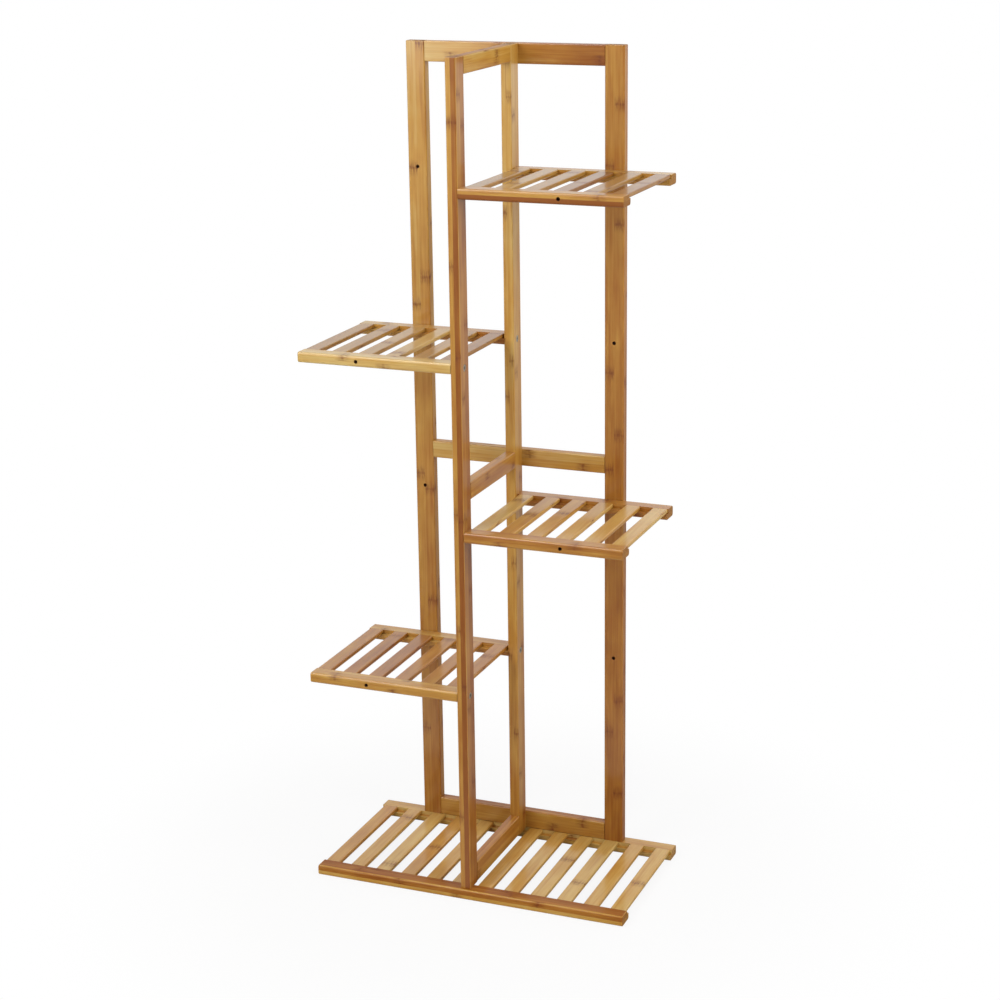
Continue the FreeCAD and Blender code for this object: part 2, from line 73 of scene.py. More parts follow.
class Wire:
    """A socket of a material's nodes. Arithmetic on it adds Math nodes."""

    def __init__(self, tree, socket=None):
        self.tree = tree
        self.socket = socket

    def plug(self, socket, source):
        """Link a wire to a socket, or set the socket to a plain value."""
        if isinstance(source, Wire):
            self.tree.links.new(source.socket, socket)
        else:
            socket.default_value = source

    def node(self, kind, settings, sockets, output=0):
        """Add any node: its settings first, then the values or links of its sockets."""
        made = self.tree.nodes.new(kind)
        for name, setting in settings.items():
            if name == "stops":
                set_stops(made.color_ramp, setting)
            else:
                setattr(made, name, setting)
        for name, source in sockets.items():
            self.plug(made.inputs[name], source)
        return Wire(self.tree, made.outputs[output])

    def math(self, operation, *values):
        return self.node("ShaderNodeMath", {"operation": operation}, dict(enumerate(values)))

    def __add__(self, other):
        return self.math("ADD", self, other)

    def __radd__(self, other):
        return self.math("ADD", other, self)

    def __sub__(self, other):
        return self.math("SUBTRACT", self, other)

    def __rsub__(self, other):
        return self.math("SUBTRACT", other, self)

    def __mul__(self, other):
        return self.math("MULTIPLY", self, other)

    def __rmul__(self, other):
        return self.math("MULTIPLY", other, self)

    def __truediv__(self, other):
        return self.math("DIVIDE", self, other)

    def __abs__(self):
        return self.math("ABSOLUTE", self)

    def floor(self):
        return self.math("FLOOR", self)

    def above(self, low, high):
        """0 under low, 1 over high, with a smooth change between."""
        limits = {"Value": self, "From Min": low, "From Max": high}
        return self.node("ShaderNodeMapRange", {"interpolation_type": "SMOOTHSTEP"}, limits)

    def below(self, low, high):
        """1 under low, 0 over high, with a smooth change between."""
        return 1 - self.above(low, high)

    def coordinates(self, kind):
        return self.node("ShaderNodeTexCoord", {}, {}, kind)

    def split(self):
        """The three numbers of a vector."""
        return [self.node("ShaderNodeSeparateXYZ", {}, {0: self}, axis) for axis in range(3)]

    def vector(self, x, y, z):
        return self.node("ShaderNodeCombineXYZ", {}, {"X": x, "Y": y, "Z": z})

    def chance(self, x, y, z, seed):
        """An even random number that stays the same while its four inputs do."""
        place = self.vector(x, y, z)
        settings = {"noise_dimensions": "4D"}
        return self.node("ShaderNodeTexWhiteNoise", settings, {"Vector": place, "W": seed})

    def noise(self, x, y, z, detail=2.0, roughness=0.55):
        place = self.vector(x, y, z)
        sockets = {"Vector": place, "Scale": 1.0, "Detail": detail, "Roughness": roughness}
        return self.node("ShaderNodeTexNoise", {}, sockets)

    def tint(self, under, over, share):
        """One colour over another."""
        settings = {"data_type": "RGBA", "clamp_factor": True}
        factor, first, second, result = 0, 6, 7, 2
        sockets = {factor: share, first: under, second: over}
        return self.node("ShaderNodeMix", settings, sockets, result)

    def bump(self, height, strength, depth):
        sockets = {"Height": height, "Strength": strength, "Distance": depth}
        return self.node("ShaderNodeBump", {}, sockets)

    def light_path(self, ray):
        """1 for rays of one kind, such as Camera or Glossy, and 0 for others."""
        return self.node("ShaderNodeLightPath", {}, {}, f"Is {ray} Ray")


def set_stops(ramp, stops):
    """Give a colour ramp its stops, from (place, colour) pairs."""
    while len(ramp.elements) < len(stops):
        ramp.elements.new(1.0)
    for element, (place, colour) in zip(ramp.elements, stops):
        element.position = place
        element.color = colour


def new_material(name):
    """A material with its shader, and a wire to build its pattern from."""
    material = bpy.data.materials.new(name)
    material.use_nodes = True
    return material, material.node_tree.nodes["Principled BSDF"], Wire(material.node_tree)


# Bamboo: colours

# From deep amber to pale honey
BAMBOO_TONES = (
    (0.0, srgb(140, 78, 18)),
    (0.3, srgb(170, 112, 40)),
    (0.6, srgb(192, 143, 62)),
    (1.0, srgb(210, 180, 110)),
)

# From dull brown to straw, the greyer wood of the upper shelves' slats
STRAW_TONES = (
    (0.0, srgb(144, 94, 36)),
    (0.3, srgb(168, 123, 56)),
    (0.6, srgb(189, 147, 74)),
    (1.0, srgb(213, 180, 106)),
)
STRAW_SHELVES = ("left_upper_shelf", "right_upper_shelf")
AMBER = srgb(158, 90, 26)
NODE_BROWN = srgb(112, 52, 14)
SEAM_BROWN = srgb(110, 62, 24)
END_GRAIN = srgb(160, 112, 56)
END_PORE = srgb(104, 66, 32)
# Painted shade for the walls of open holes
BORE_SHADE = srgb(84, 50, 24)

# Bamboo: patterns, in millimetres

# Breadth across the fibres, run along them, and a salt that sets the patterns of the sticks apart
WANDER = {"breadth": 14, "run": 40, "salt": 7.3}
FIBRES = {"breadth": 0.8, "run": 55, "salt": 3.1, "detail": 3.0}
STREAKS = {"breadth": 3, "run": 110, "salt": 5.7}
CLOUDS = {"breadth": 16, "run": 55, "salt": 9.1}
AMBER_STREAKS = {"breadth": 4, "run": 80, "salt": 4.7}
BLOTCHES = {"breadth": 1.4, "run": 12, "salt": 2.3}
PORE_SIZE = 0.55

# Part of a noise's range over which a pattern sets in
AMBER_ONSET = (0.52, 0.72)
BLOTCH_ONSET = (0.4, 0.62)
PORE_ONSET = (0.5, 0.62)

# Draws that give each glued strip its shade, and its growth nodes their start and shift
SHADE_DRAW = 0.5
START_DRAW = 3.5
SHIFT_SEED = 0.5

# Growth nodes: the step between them, their spread within it, their waviness, and their marks
NODE_STEP = 240
NODE_SPREAD = 0.6
NODE_WANDER = 8
NODE_LINE = (0.5, 2.5)
NODE_HALO = (2, 12)

# Glue lines: how thin they are, and how far they stay from the stick's edges
SEAM_LINE = (0.12, 0.4)
SEAM_MARGIN = (1.2, 1.6)

# Distances from the middle of an open hole over which the painted shade on its wall gives way to the
# face
BORE_EDGE = (2.1, 2.4)

# How squarely a face has to look along an axis to count as facing that way
FACING = (0.6, 0.9)

# Bamboo: strengths of the patterns in the shade, the tints, the lacquer and the relief

STRIP_CONTRAST = 0.22
FIBRE_CONTRAST = 0.25
CLOUD_CONTRAST = 0.5
AMBER_TINT = 0.7
LINE_TINT = 0.25
HALO_TINT = 0.12
BLOTCH_TINT = 0.45
SEAM_TINT = 0.12
END_TINT = 0.75

ROUGHNESS = 0.34
STREAK_ROUGHNESS = 0.12
NODE_ROUGHNESS = 0.1
END_ROUGHNESS = 0.3
BORE_ROUGHNESS = 0.6

COAT = 0.6
FIBRE_COAT_LOSS = 0.16
END_COAT_LOSS = 0.45
EDGE_COAT_LOSS = 0.3
BORE_COAT_LOSS = 0.7
COAT_ROUGHNESS = 0.12
SPECULAR_LEVEL = 0.3

FIBRE_RELIEF = 0.5
NODE_RELIEF = 0.5
SEAM_RELIEF = 0.6
PORE_RELIEF = 0.5
RELIEF_STRENGTH = 0.3
RELIEF_DEPTH = 0.15 * MM


def stick_axes(name):
    """Low corner and size of a stick, and its axes by length: grain, across and depth."""
    low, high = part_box(name)
    size = high - low
    depth, across, grain = sorted(range(3), key=lambda axis: size[axis])
    return low, size, grain, across, depth


def open_bores(name):
    """Middles of the holes from front to back that stay open in a stick."""
    side = "left" if name.startswith("left") else "right"
    post = middle(f"{side}_rear_post")
    if name.endswith("rear_post"):
        return [(post.x, middle(f"{shelf}_shelf_front_rail").z) for shelf in SHELVES]
    if name.endswith("shelf_front_rail"):
        return [(post.x, middle(name).z)]
    return []


def seam_lines(place, step, size):
    """Thin lines at every step through a stick, but not along its outer edges."""
    share = place / step
    edge = abs(share - (share + 0.5).floor()) * step
    near, far = SEAM_MARGIN
    inside = place.above(near, far) * place.below(size - far, size - near)
    return edge.below(*SEAM_LINE) * inside


def bamboo(name, seed, ramp, tone, rise, ply_and_light_step, face_light_step, lacquer, strips, plies, streaks):
    """Lacquered bamboo for one stick: glued strips with growth nodes, fibres and end grain, with
    painted light and shade along it, on its faces and in its open holes.
    """
    low, size, grain, across, depth = stick_axes(name)
    material, shader, wire = new_material(f"bamboo_{name}")
    spot = wire.coordinates("Object").split()
    normal = wire.coordinates("Normal").split()
    end, edge, broad = (abs(normal[axis]).above(*FACING) for axis in (grain, across, depth))

    # Millimetres along the grain, across the wide face and through the thickness
    along = (spot[grain] - low[grain]) / MM
    over = (spot[across] - low[across]) / MM
    deep = (spot[depth] - low[depth]) / MM
    length, width, thickness = size[grain] / MM, size[across] / MM, size[depth] / MM

    def pattern(breadth, run, salt, **detail):
        return wire.noise(over / breadth, deep / breadth, along / run + seed * salt, **detail)

    # Glued strips, each with its own shade
    strip_width, ply_depth = width / strips, thickness / plies
    strip = (over / strip_width).floor()
    ply = (deep / ply_depth).floor()
    strip_shade = wire.chance(strip, ply, SHADE_DRAW, seed) - 0.5

    # Growth nodes at uneven steps along each strip
    wobble = pattern(**WANDER) - 0.5
    start = wire.chance(strip, ply, START_DRAW, seed)
    count = (along + NODE_WANDER * wobble) / NODE_STEP + start
    turn = count.floor()
    shift = wire.chance(strip, ply, turn, seed + SHIFT_SEED)
    node_place = (1 - NODE_SPREAD) / 2 + NODE_SPREAD * shift
    reach = abs(count - turn - node_place) * NODE_STEP
    node_line = reach.below(*NODE_LINE)
    node_halo = reach.below(*NODE_HALO)

    # Fibres run with the grain, slow clouds change the shade along a stick, and painted light and shade
    # are added
    fibre = pattern(**FIBRES)
    streak = pattern(**STREAKS)
    cloud = pattern(**CLOUDS)
    # The stick's shade, with painted light along it that makes the posts lighter towards their tops
    shade = tone + rise * (along / length)
    # Each strip's own shade, and the step between the glued layers, partly their own colours and partly
    # painted light and shade
    shade = shade + STRIP_CONTRAST * strip_shade + ply_and_light_step * (ply / max(plies - 1, 1) - 0.5)
    shade = shade + FIBRE_CONTRAST * (fibre - 0.5) + streaks * (streak - 0.5)
    # Slow clouds, and painted light and shade on the wide faces
    shade = shade + CLOUD_CONTRAST * (cloud - 0.5) + face_light_step * broad
    colour = wire.node("ShaderNodeValToRGB", {"stops": ramp}, {0: shade})

    # Long amber streaks
    amber = pattern(**AMBER_STREAKS).above(*AMBER_ONSET)
    colour = wire.tint(colour, AMBER, AMBER_TINT * streaks * amber)

    # Brown blotches at the growth nodes, broken up along the fibres
    blotch = pattern(**BLOTCHES).above(*BLOTCH_ONSET)
    browned = LINE_TINT * node_line + node_halo * (HALO_TINT + BLOTCH_TINT * blotch)
    colour = wire.tint(colour, NODE_BROWN, browned)

    # Thin glue lines where strips meet inside the stick
    seam = seam_lines(over, strip_width, width) + seam_lines(deep, ply_depth, thickness)
    colour = wire.tint(colour, SEAM_BROWN, SEAM_TINT * seam)

    # Ends show the cut fibre bundles as dark pores
    pore_places = (place / PORE_SIZE for place in (over, deep, along))
    pore = wire.noise(*pore_places, detail=1.0).above(*PORE_ONSET)
    colour = wire.tint(colour, wire.tint(END_GRAIN, END_PORE, pore), END_TINT * end)

    # The lacquer is thinner on the narrow faces, and has sunk into the ends
    roughness = ROUGHNESS + STREAK_ROUGHNESS * streak + NODE_ROUGHNESS * node_halo
    roughness = roughness + END_ROUGHNESS * end
    coat = COAT - FIBRE_COAT_LOSS * fibre - END_COAT_LOSS * end - EDGE_COAT_LOSS * edge
    coat = lacquer * coat

    # Open holes get painted shade on their walls, and are rough and unlacquered inside
    for bore_across, bore_height in open_bores(name):
        aside, above = (spot[0] - bore_across) / MM, (spot[2] - bore_height) / MM
        bore = wire.math("SQRT", aside * aside + above * above).below(*BORE_EDGE)
        colour = wire.tint(colour, BORE_SHADE, bore)
        roughness = roughness + BORE_ROUGHNESS * bore
        coat = coat - BORE_COAT_LOSS * bore

    wire.plug(shader.inputs["Base Color"], colour)
    wire.plug(shader.inputs["Roughness"], roughness)
    wire.plug(shader.inputs["Coat Weight"], coat)
    shader.inputs["Coat Roughness"].default_value = COAT_ROUGHNESS
    shader.inputs["Specular IOR Level"].default_value = SPECULAR_LEVEL * lacquer
    relief = FIBRE_RELIEF * fibre + NODE_RELIEF * node_line
    relief = relief - SEAM_RELIEF * seam - PORE_RELIEF * pore * end
    wire.plug(shader.inputs["Normal"], wire.bump(relief, RELIEF_STRENGTH, RELIEF_DEPTH))
    return material


# Bamboo: the sticks

# Shade of each stick, 0 deep amber to 1 pale honey
RAIL_TONE = 0.35
SLAT_TONES = {
    "base": 0.68,
    "left_lower_shelf": 0.33,
    "right_lower_shelf": 0.6,
    "left_upper_shelf": 0.41,
    "right_upper_shelf": 0.31,
}
STICK_TONES = {
    "left_rear_post": 0.33,
    "right_rear_post": 0.07,
    "front_centre_post": 0.08,
    "rear_centre_post": 0.35,
    "back_bottom_rail": 0.18,
    "back_middle_rail": 0.54,
    "back_top_rail": 0.66,
    "cross_bottom_rail": 0.27,
    "cross_middle_rail": 0.42,
    "cross_top_rail": 0.36,
    "left_lower_shelf_back_rail": 0.5,
    "left_lower_shelf_front_rail": 0.6,
    "left_upper_shelf_back_rail": 0.6,
    "left_upper_shelf_front_rail": 0.84,
    "right_lower_shelf_front_rail": 0.26,
    "right_upper_shelf_back_rail": 0.32,
    "right_upper_shelf_front_rail": 0.22,
    "base_back_rail": 0.84,
    "base_front_rail": 0.44,
    "base_slat_01": 0.56,
    "base_slat_03": 0.82,
    "base_slat_04": 0.43,
    "base_slat_07": 0.61,
    "base_slat_12": 0.61,
    "left_lower_shelf_slat_2": 0.45,
    "left_lower_shelf_slat_4": 0.21,
    "left_lower_shelf_slat_5": 0.19,
    "left_upper_shelf_slat_1": 0.18,
    "left_upper_shelf_slat_2": 0.48,
    "left_upper_shelf_slat_3": 0.68,
    "left_upper_shelf_slat_6": 0.2,
    "right_lower_shelf_slat_1": 0.78,
    "right_lower_shelf_slat_6": 0.72,
    "right_upper_shelf_slat_2": 0.5,
    "right_upper_shelf_slat_4": 0.02,
    "right_upper_shelf_slat_6": 0.1,
}

# Shade added from the low end of a stick to its high end. On the posts it is painted light, which makes
# them lighter towards their tops, and on the rails it changes the shade from one end to the other
TONE_AND_LIGHT_RISES = {
    "left_rear_post": 0.36,
    "right_rear_post": 0.26,
    "front_centre_post": 0.2,
    "rear_centre_post": 0.35,
    "back_middle_rail": -0.12,
    "back_top_rail": -0.73,
    "left_lower_shelf_back_rail": -0.18,
    "left_upper_shelf_back_rail": -0.48,
    "right_upper_shelf_back_rail": 0.2,
}

# Shade added from the first glued layer of a stick to the second
# It is partly the layers' own colours, and partly painted light and shade that sets one half of a face
# against the other
PLY_AND_LIGHT_STEPS = {
    "front_centre_post": -0.4,
    "left_upper_shelf_front_rail": -0.25,
    "right_lower_shelf_front_rail": -0.15,
    "right_upper_shelf_front_rail": 0.6,
    "base_back_rail": 0.2,
    "base_front_rail": -0.5,
}

# Painted light and shade on a stick's wide faces, which makes them lighter or darker than its narrow
# faces
FACE_LIGHT_STEPS = {
    "front_centre_post": 0.62,
    "back_bottom_rail": 0.25,
    "back_middle_rail": 0.2,
    "back_top_rail": 0.2,
    "cross_bottom_rail": 0.15,
    "cross_middle_rail": -0.05,
    "cross_top_rail": 0.31,
    "left_lower_shelf_back_rail": 0.15,
    "left_upper_shelf_back_rail": 0.14,
    "left_upper_shelf_front_rail": 0.1,
    "right_lower_shelf_back_rail": 0.04,
    "right_lower_shelf_front_rail": 0.14,
    "right_upper_shelf_back_rail": 0.16,
    "right_upper_shelf_front_rail": 0.02,
    "base_back_rail": -0.44,
    "base_front_rail": 0.46,
}

# Share of the usual lacquer on the rails that shine less
THIN_LACQUER = {"base_front_rail": 0.35, "cross_top_rail": 0.3}

# How a stick is glued up, and how streaky its wood is
GLUED_STICK = {"strips": 2, "plies": 2, "streaks": 0.55}
PLAIN_SLAT = {"strips": 1, "plies": 1, "streaks": 0.35}


def stick_look(name):
    """The wood, shades with their painted light and shade, lacquer and make of one stick."""
    group, _, slat = name.partition("_slat_")
    usual = SLAT_TONES[group] if slat else RAIL_TONE
    make = PLAIN_SLAT if slat else GLUED_STICK
    return {
        "ramp": STRAW_TONES if slat and group in STRAW_SHELVES else BAMBOO_TONES,
        "tone": STICK_TONES.get(name, usual),
        "rise": TONE_AND_LIGHT_RISES.get(name, 0),
        "ply_and_light_step": PLY_AND_LIGHT_STEPS.get(name, 0),
        "face_light_step": FACE_LIGHT_STEPS.get(name, 0),
        "lacquer": THIN_LACQUER.get(name, 1),
        **make,
    }


def dress_sticks():
    """Give every post, rail and slat its own bamboo."""
    for seed, name in enumerate(STICKS):
        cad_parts[name].material_slots[0].material = bamboo(name, seed, **stick_look(name))


# Hidden dowels

DOWEL_PALE = srgb(214, 178, 130)
DOWEL_DARK = srgb(188, 146, 98)
DOWEL_GRAIN = 1.2 * MM
DOWEL_ROUGHNESS = 0.6
DOWEL_GRAIN_ROUGHNESS = 0.2


def dowel_beech():
    """Plain beech, without lacquer."""
    material, shader, wire = new_material("dowel_beech")
    grain = wire.noise(*[place / DOWEL_GRAIN for place in wire.coordinates("Object").split()])
    wire.plug(shader.inputs["Base Color"], wire.tint(DOWEL_PALE, DOWEL_DARK, grain))
    wire.plug(shader.inputs["Roughness"], DOWEL_ROUGHNESS + DOWEL_GRAIN_ROUGHNESS * grain)
    return material


# Screws

ZINC_PALE = srgb(204, 194, 176)
ZINC_DULL = srgb(164, 154, 138)
ZINC_CLOUD = 2.2 * MM
ZINC_GRIT = 0.25 * MM
ZINC_ROUGHNESS = 0.34
CLOUD_ROUGHNESS = 0.14
GRIT_ROUGHNESS = 0.1
GRIT_STRENGTH = 0.15
GRIT_DEPTH = 0.05 * MM

SCREW_HEAD = 8 * MM
SCREW_SHANK = 4 * MM
SCREW_RIM = 0.25 * MM
SCREW_CONE = (SCREW_HEAD - SCREW_SHANK) / 2
SCREW_COLLAR = 1.5 * MM
SCREW_RECESS = 0.2 * MM
SCREW_TIP = 5 * MM

# How far each kind of screw goes into the second of the two sticks that it joins
SHELF_GRIP = 15 * MM
FRAME_GRIP = 8.5 * MM
BASE_GRIP = 20 * MM

CROSS_SPAN = 4.4 * MM
CROSS_WIDTH = 1.1 * MM
CROSS_DEPTH = 1.7 * MM
THREAD_PITCH = 1.5 * MM
THREAD_DEPTH = 0.5 * MM
THREAD_SINK = 0.15 * MM
THREAD_CORE = SCREW_SHANK / 2 - THREAD_DEPTH
THREAD_TOP = SCREW_RIM + SCREW_CONE + SCREW_COLLAR + THREAD_DEPTH
SCREW_SIDES = 32
THREAD_SIDES = 16

# Width that is left at the point of a screw and at the foot of its recess, as a share
POINT_SHARE = 0.05
CROSS_TAPER = 0.55

# Height of a triangle whose corners are at a distance of 1 from its middle
TRIANGLE_HEIGHT = 1.5

# How near an edge has to lie to be picked, and points have to lie to be merged
PICK_REACH = CROSS_WIDTH / 100
WELD_REACH = 0.005 * MM

SMOOTH_ANGLE = math.radians(30)
QUARTER_TURN = math.radians(90)


def screw_steel():
    """Zinc-plated steel with a fine grit."""
    material, shader, wire = new_material("screw_zinc")
    axes = wire.coordinates("Object").split()
    cloud = wire.noise(*[place / ZINC_CLOUD for place in axes])
    grit = wire.noise(*[place / ZINC_GRIT for place in axes])
    roughness = ZINC_ROUGHNESS + CLOUD_ROUGHNESS * cloud + GRIT_ROUGHNESS * grit
    wire.plug(shader.inputs["Base Color"], wire.tint(ZINC_PALE, ZINC_DULL, cloud))
    wire.plug(shader.inputs["Roughness"], roughness)
    shader.inputs["Metallic"].default_value = 1.0
    wire.plug(shader.inputs["Normal"], wire.bump(grit, GRIT_STRENGTH, GRIT_DEPTH))
    return material


def deselect():
    bpy.ops.object.select_all(action="DESELECT")


def only(piece):
    """Make a piece the one that operators act on."""
    deselect()
    piece.select_set(True)
    bpy.context.view_layer.objects.active = piece


def apply_modifier(piece, kind, **settings):
    """Add a modifier with its settings, and apply it."""
    only(piece)
    modifier = piece.modifiers.new(kind.lower(), kind)
    for name, setting in settings.items():
        setattr(modifier, name, setting)
    bpy.ops.object.modifier_apply(modifier=modifier.name)


def face_outwards():
    """Point all faces of a mesh in edit mode outwards, and leave edit mode."""
    bpy.ops.mesh.select_all(action="SELECT")
    bpy.ops.mesh.normals_make_consistent(inside=False)
    bpy.ops.object.mode_set(mode="OBJECT")


def draw_down(depth, share):
    """Extrude what is selected downwards, and draw it in by a share."""
    bpy.ops.mesh.extrude_region_move(TRANSFORM_OT_translate={"value": (0, 0, -depth)})
    bpy.ops.transform.resize(value=(share, share, 1))


def turned_blank(length):
    """A countersunk screw without its thread and recess, head up with its top at the origin."""
    deselect()
    bpy.ops.mesh.primitive_circle_add(vertices=SCREW_SIDES, radius=SCREW_HEAD / 2, fill_type="NGON")
    blank = bpy.context.object
    bpy.ops.object.mode_set(mode="EDIT")
    bpy.ops.mesh.select_mode(type="EDGE")
    draw_down(SCREW_RIM, 1.0)
    draw_down(SCREW_CONE, SCREW_SHANK / SCREW_HEAD)
    draw_down(SCREW_COLLAR, 1.0)
    draw_down(THREAD_DEPTH, 2 * THREAD_CORE / SCREW_SHANK)
    draw_down(length - THREAD_TOP - SCREW_TIP, 1.0)
    draw_down(SCREW_TIP, POINT_SHARE)
    face_outwards()
    return blank


def pick_edge(piece, spot):
    """Select the one edge of a mesh in edit mode whose middle is at a place, seen from above."""
    bpy.ops.mesh.select_all(action="DESELECT")
    bpy.ops.object.mode_set(mode="OBJECT")
    mesh = piece.data
    for edge in mesh.edges:
        first, second = (mesh.vertices[index].co for index in edge.vertices)
        centre = (first + second) / 2
        edge.select = (Vector((centre.x, centre.y, 0)) - spot).length < PICK_REACH
    bpy.ops.object.mode_set(mode="EDIT")


def cut_cross(blank):
    """Sink a tapered cross recess into the head."""
    arm = (CROSS_SPAN - CROSS_WIDTH) / 2
    deselect()
    bpy.ops.mesh.primitive_plane_add(size=CROSS_WIDTH, location=(0, 0, CROSS_WIDTH))
    cutter = bpy.context.object
    bpy.ops.object.mode_set(mode="EDIT")
    bpy.ops.mesh.select_mode(type="EDGE")
    for way in ((1, 0, 0), (-1, 0, 0), (0, 1, 0), (0, -1, 0)):
        pick_edge(cutter, Vector(way) * CROSS_WIDTH / 2)
        bpy.ops.mesh.extrude_region_move(TRANSFORM_OT_translate={"value": Vector(way) * arm})
    bpy.ops.mesh.select_all(action="SELECT")
    draw_down(CROSS_WIDTH + CROSS_DEPTH, CROSS_TAPER)
    face_outwards()
    apply_modifier(blank, "BOOLEAN", operation="DIFFERENCE", object=cutter, solver="EXACT")
    bpy.data.objects.remove(cutter)


def wind_thread(blank, length):
    """Wind a sharp ridge round the core, down to the start of the tip, and join it on."""
    turns = math.floor((length - THREAD_TOP - SCREW_TIP) / THREAD_PITCH) - 1
    reach = (THREAD_DEPTH + THREAD_SINK) / TRIANGLE_HEIGHT
    place = (THREAD_CORE + THREAD_DEPTH - reach, 0, -THREAD_TOP - THREAD_PITCH / 2)
    upright = (QUARTER_TURN, QUARTER_TURN, 0)
    deselect()
    bpy.ops.mesh.primitive_circle_add(vertices=3, radius=reach, location=place, rotation=upright)
    ridge = bpy.context.object
    bpy.ops.object.transform_apply(location=True, rotation=True)
    steps = {"steps": THREAD_SIDES, "render_steps": THREAD_SIDES}
    apply_modifier(ridge, "SCREW", axis="Z", screw_offset=-THREAD_PITCH, iterations=turns, **steps)
    bpy.ops.object.mode_set(mode="EDIT")
    bpy.ops.mesh.select_all(action="SELECT")
    bpy.ops.mesh.fill_holes(sides=3)
    face_outwards()
    apply_modifier(blank, "BOOLEAN", operation="UNION", object=ridge, solver="EXACT")
    bpy.data.objects.remove(ridge)


def weld(piece):
    """Merge points that lie together, and drop the faces of no size that a join leaves."""
    only(piece)
    bpy.ops.object.mode_set(mode="EDIT")
    bpy.ops.mesh.select_all(action="SELECT")
    bpy.ops.mesh.remove_doubles(threshold=WELD_REACH)
    bpy.ops.mesh.dissolve_degenerate(threshold=WELD_REACH)
    face_outwards()


def build_screw(length):
    """One screw, head up with its top at the origin."""
    blank = turned_blank(length)
    cut_cross(blank)
    wind_thread(blank, length)
    weld(blank)
    bpy.ops.object.shade_smooth_by_angle(angle=SMOOTH_ANGLE)
    return blank


# Turns that bring a screw's head to face each way
HEAD_TURNS = {
    "+X": Matrix.Rotation(QUARTER_TURN, 4, "Y"),
    "-X": Matrix.Rotation(-QUARTER_TURN, 4, "Y"),
    "+Y": Matrix.Rotation(-QUARTER_TURN, 4, "X"),
    "-Z": Matrix.Rotation(2 * QUARTER_TURN, 4, "X"),
}


def shelf_spots():
    """Where the shelves are screwed on: twice to the centre posts, once to the rear post behind."""
    spots = []
    for shelf, side in SHELVES.items():
        level = middle(f"{shelf}_shelf_front_rail").z
        for post in ("front_centre_post", "rear_centre_post"):
            low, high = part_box(post)
            face = high.x - SCREW_RECESS if side < 0 else low.x + SCREW_RECESS
            way = "+X" if side < 0 else "-X"
            spots.append((way, Vector((face, middle(post).y, level))))
        rear = "left_rear_post" if side < 0 else "right_rear_post"
        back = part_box(rear)[1].y - SCREW_RECESS
        spots.append(("+Y", Vector((middle(rear).x, back, level))))
    return spots


def frame_spots():
    """Where the back rails are screwed to the rear centre post."""
    spots = []
    for level in ("bottom", "middle", "top"):
        rail = f"back_{level}_rail"
        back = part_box(rail)[1].y - SCREW_RECESS
        spots.append(("+Y", Vector((middle(rail).x, back, middle(rail).z))))
    return spots


def base_spots():
    """Where the base is screwed to the posts from below."""
    row = middle("left_rear_post").y
    places = [(middle("front_centre_post").x, -row)]
    places += [(middle(post).x, row) for post in ("left_rear_post", "right_rear_post")]
    return [("-Z", Vector((across, back, SCREW_RECESS))) for across, back in places]


def lay_screws(name, node, grip, spots, steel):
    """Copies of one screw at their places, joined as the piece that stands for a node."""
    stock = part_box("base_front_rail")[1].z
    master = build_screw(stock - SCREW_RECESS + grip)
    master.data.materials.append(steel)
    copies = []
    for way, spot in spots:
        copy = master.copy()
        copy.data = master.data.copy()
        copy.data.transform(Matrix.Translation(spot) @ HEAD_TURNS[way])
        bpy.context.scene.collection.objects.link(copy)
        copies.append(copy)
    bpy.data.objects.remove(master)
    deselect()
    for copy in copies:
        copy.select_set(True)
    piece = copies[0]
    bpy.context.view_layer.objects.active = piece
    bpy.ops.object.join()
    piece.name = name
    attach(piece, "root")
    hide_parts(node)


# Floor

FLOOR_SIZE = 14
FLOOR_DROP = 0.2 * MM
FLOOR_PALE = (0.82, 0.82, 0.82, 1)
FLOOR_DIM = (0.4, 0.4, 0.4, 1)
FLOOR_GLOW = 0.88
FLOOR_SHEEN = 0.5

# Distances from the stand's middle over which its shadow fades out, and the floor's reflection fades in
SHADOW_FADE = (0.25, 0.6)
SHEEN_FADE = (0.1, 3.5)

# Where the strip of floor that is bright in reflections ends, near the base and far in front of it
STRIP_NEAR_STAND = (-0.12, -0.105)
STRIP_FAR_FROM_STAND = (-0.5, -0.2)


def lay_floor():
    """A pale floor, white to the camera with a faint shadow.

    In reflections it is dim near the stand, and brighter far off and just in front of the base.
    """
    deselect()
    bpy.ops.mesh.primitive_plane_add(size=FLOOR_SIZE, location=(0, 0, -FLOOR_DROP))
    floor = bpy.context.object
    floor.name = "studio_floor"
    material, shader, wire = new_material("studio_floor")
    tree = material.node_tree
    tree.nodes.remove(shader)
    camera_ray, glossy_ray = wire.light_path("Camera"), wire.light_path("Glossy")
    pale = wire.tint(FLOOR_PALE, FLOOR_DIM, glossy_ray)
    matt = wire.node("ShaderNodeBsdfDiffuse", {}, {"Color": pale})
    glow = wire.node("ShaderNodeEmission", {}, {"Color": WHITE, "Strength": 1.0})
    place = wire.coordinates("Object")
    away = wire.node("ShaderNodeVectorMath", {"operation": "LENGTH"}, {0: place}, "Value")
    _, backward, _ = place.split()
    white = FLOOR_GLOW + (1 - FLOOR_GLOW) * away.above(*SHADOW_FADE)
    front = backward.below(*STRIP_NEAR_STAND) * backward.above(*STRIP_FAR_FROM_STAND)
    sheen = FLOOR_SHEEN * away.above(*SHEEN_FADE) + front
    share = white * camera_ray + sheen * glossy_ray
    mixed = wire.node("ShaderNodeMixShader", {}, {0: share, 1: matt, 2: glow})
    wire.plug(tree.nodes["Material Output"].inputs["Surface"], mixed)
    floor.data.materials.append(material)


# Light

# Light from all round, and how bright the room in front shows in reflections
AMBIENT = 0.43
FRONT_SHEEN = 0.1

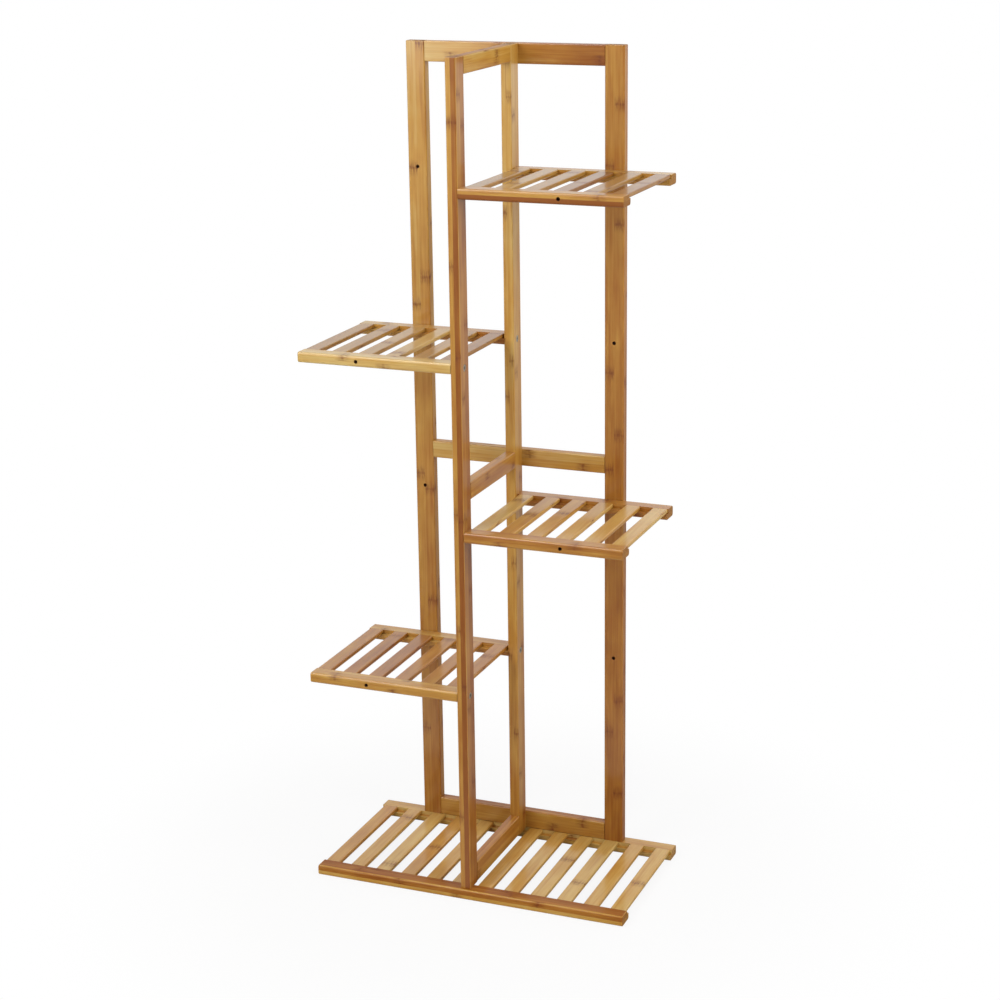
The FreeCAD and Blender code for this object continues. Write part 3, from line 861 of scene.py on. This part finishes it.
# Backward share of a direction over which the reflected room turns into a white back wall
BACK_WALL = (-0.3, 0.4)

# Lamps that light the stand: their places, the heights that they point at, their sizes and powers
LAMPS = {
    "key": {"place": (-0.7, -1.3, 1.45), "aim": 0.6, "size": (1.0, 1.0), "power": 15.5},
    "fill": {"place": (1.8, -0.4, 1.3), "aim": 0.6, "size": (1.0, 1.0), "power": 10},
    "side": {"place": (1.4, -0.5, 1.7), "aim": 0.7, "size": (0.8, 0.8), "power": 8},
    "rear": {"place": (0.3, 1.8, 1.4), "aim": 0.6, "size": (1.2, 1.2), "power": 10},
}

# Lamps that only show in reflections
GLOSS_LAMPS = {
    "softbox": {"place": (-1.17, -1.75, 1.47), "aim": 0.7, "size": (0.9, 1.6), "power": 18},
    "overhead": {"place": (-0.8, -0.65, 2.45), "aim": 0.5, "size": (1.0, 1.0), "power": 30},
}


def light_world():
    """White to the camera, soft light on the stand, and a white back wall in reflections."""
    world = bpy.data.worlds.new("studio")
    bpy.context.scene.world = world
    world.use_nodes = True
    tree = world.node_tree
    wire = Wire(tree)
    camera_ray, glossy_ray = wire.light_path("Camera"), wire.light_path("Glossy")
    _, backward, _ = wire.coordinates("Generated").split()
    sheen = FRONT_SHEEN + (1 - FRONT_SHEEN) * backward.above(*BACK_WALL)
    level = AMBIENT + (sheen - AMBIENT) * glossy_ray + (1 - AMBIENT) * camera_ray
    background = tree.nodes["Background"]
    background.inputs["Color"].default_value = WHITE
    wire.plug(background.inputs["Strength"], level)


def hang_lamp(name, place, aim, size, power, glossy):
    """A soft light that points at a height on the stand's middle line."""
    lamp = bpy.data.lights.new(name, "AREA")
    lamp.shape = "RECTANGLE"
    lamp.size, lamp.size_y = size
    lamp.energy = power
    holder = bpy.data.objects.new(name, lamp)
    bpy.context.scene.collection.objects.link(holder)
    holder.location = place
    way = Vector((0, 0, aim)) - Vector(place)
    holder.rotation_euler = way.to_track_quat("-Z", "Y").to_euler()
    holder.visible_glossy = glossy
    holder.visible_diffuse = not glossy


def hang_lamps():
    for name, lamp in LAMPS.items():
        hang_lamp(name, **lamp, glossy=False)
    for name, lamp in GLOSS_LAMPS.items():
        hang_lamp(name, **lamp, glossy=True)


# Camera: it stands to the right of the front, looks down and is turned a little about its own axis

CAMERA_YAW = math.radians(21.967)
CAMERA_PITCH = math.radians(16.706)
CAMERA_ROLL = math.radians(-0.738)
CAMERA_DISTANCE = 2.6016
CAMERA_TARGET = Vector((0.0164, 0, 0.4721))
CAMERA_LENS = 79.077
CAMERA_SHIFT = (-0.00508, 0.00292)


def set_camera():
    camera = bpy.data.cameras.new("camera")
    holder = bpy.data.objects.new("camera", camera)
    bpy.context.scene.collection.objects.link(holder)
    level = math.cos(CAMERA_PITCH)
    aside, front = math.sin(CAMERA_YAW) * level, math.cos(CAMERA_YAW) * level
    back = Vector((aside, -front, math.sin(CAMERA_PITCH)))
    place = Matrix.Translation(CAMERA_TARGET + back * CAMERA_DISTANCE)
    upright = back.to_track_quat("Z", "Y").to_matrix().to_4x4()
    holder.matrix_world = place @ upright @ Matrix.Rotation(CAMERA_ROLL, 4, "Z")
    camera.lens = CAMERA_LENS
    camera.shift_x, camera.shift_y = CAMERA_SHIFT
    bpy.context.scene.camera = holder


dress_sticks()
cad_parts["frame_dowels"].material_slots[0].material = dowel_beech()
steel = screw_steel()
lay_screws("shelf_screw_set", "shelf_screws", SHELF_GRIP, shelf_spots(), steel)
lay_screws("frame_screw_set", "frame_screws", FRAME_GRIP, frame_spots(), steel)
lay_screws("base_screw_set", "base_screws", BASE_GRIP, base_spots(), steel)
lay_floor()
light_world()
hang_lamps()
set_camera()
bpy.context.scene.view_settings.view_transform = "Standard"
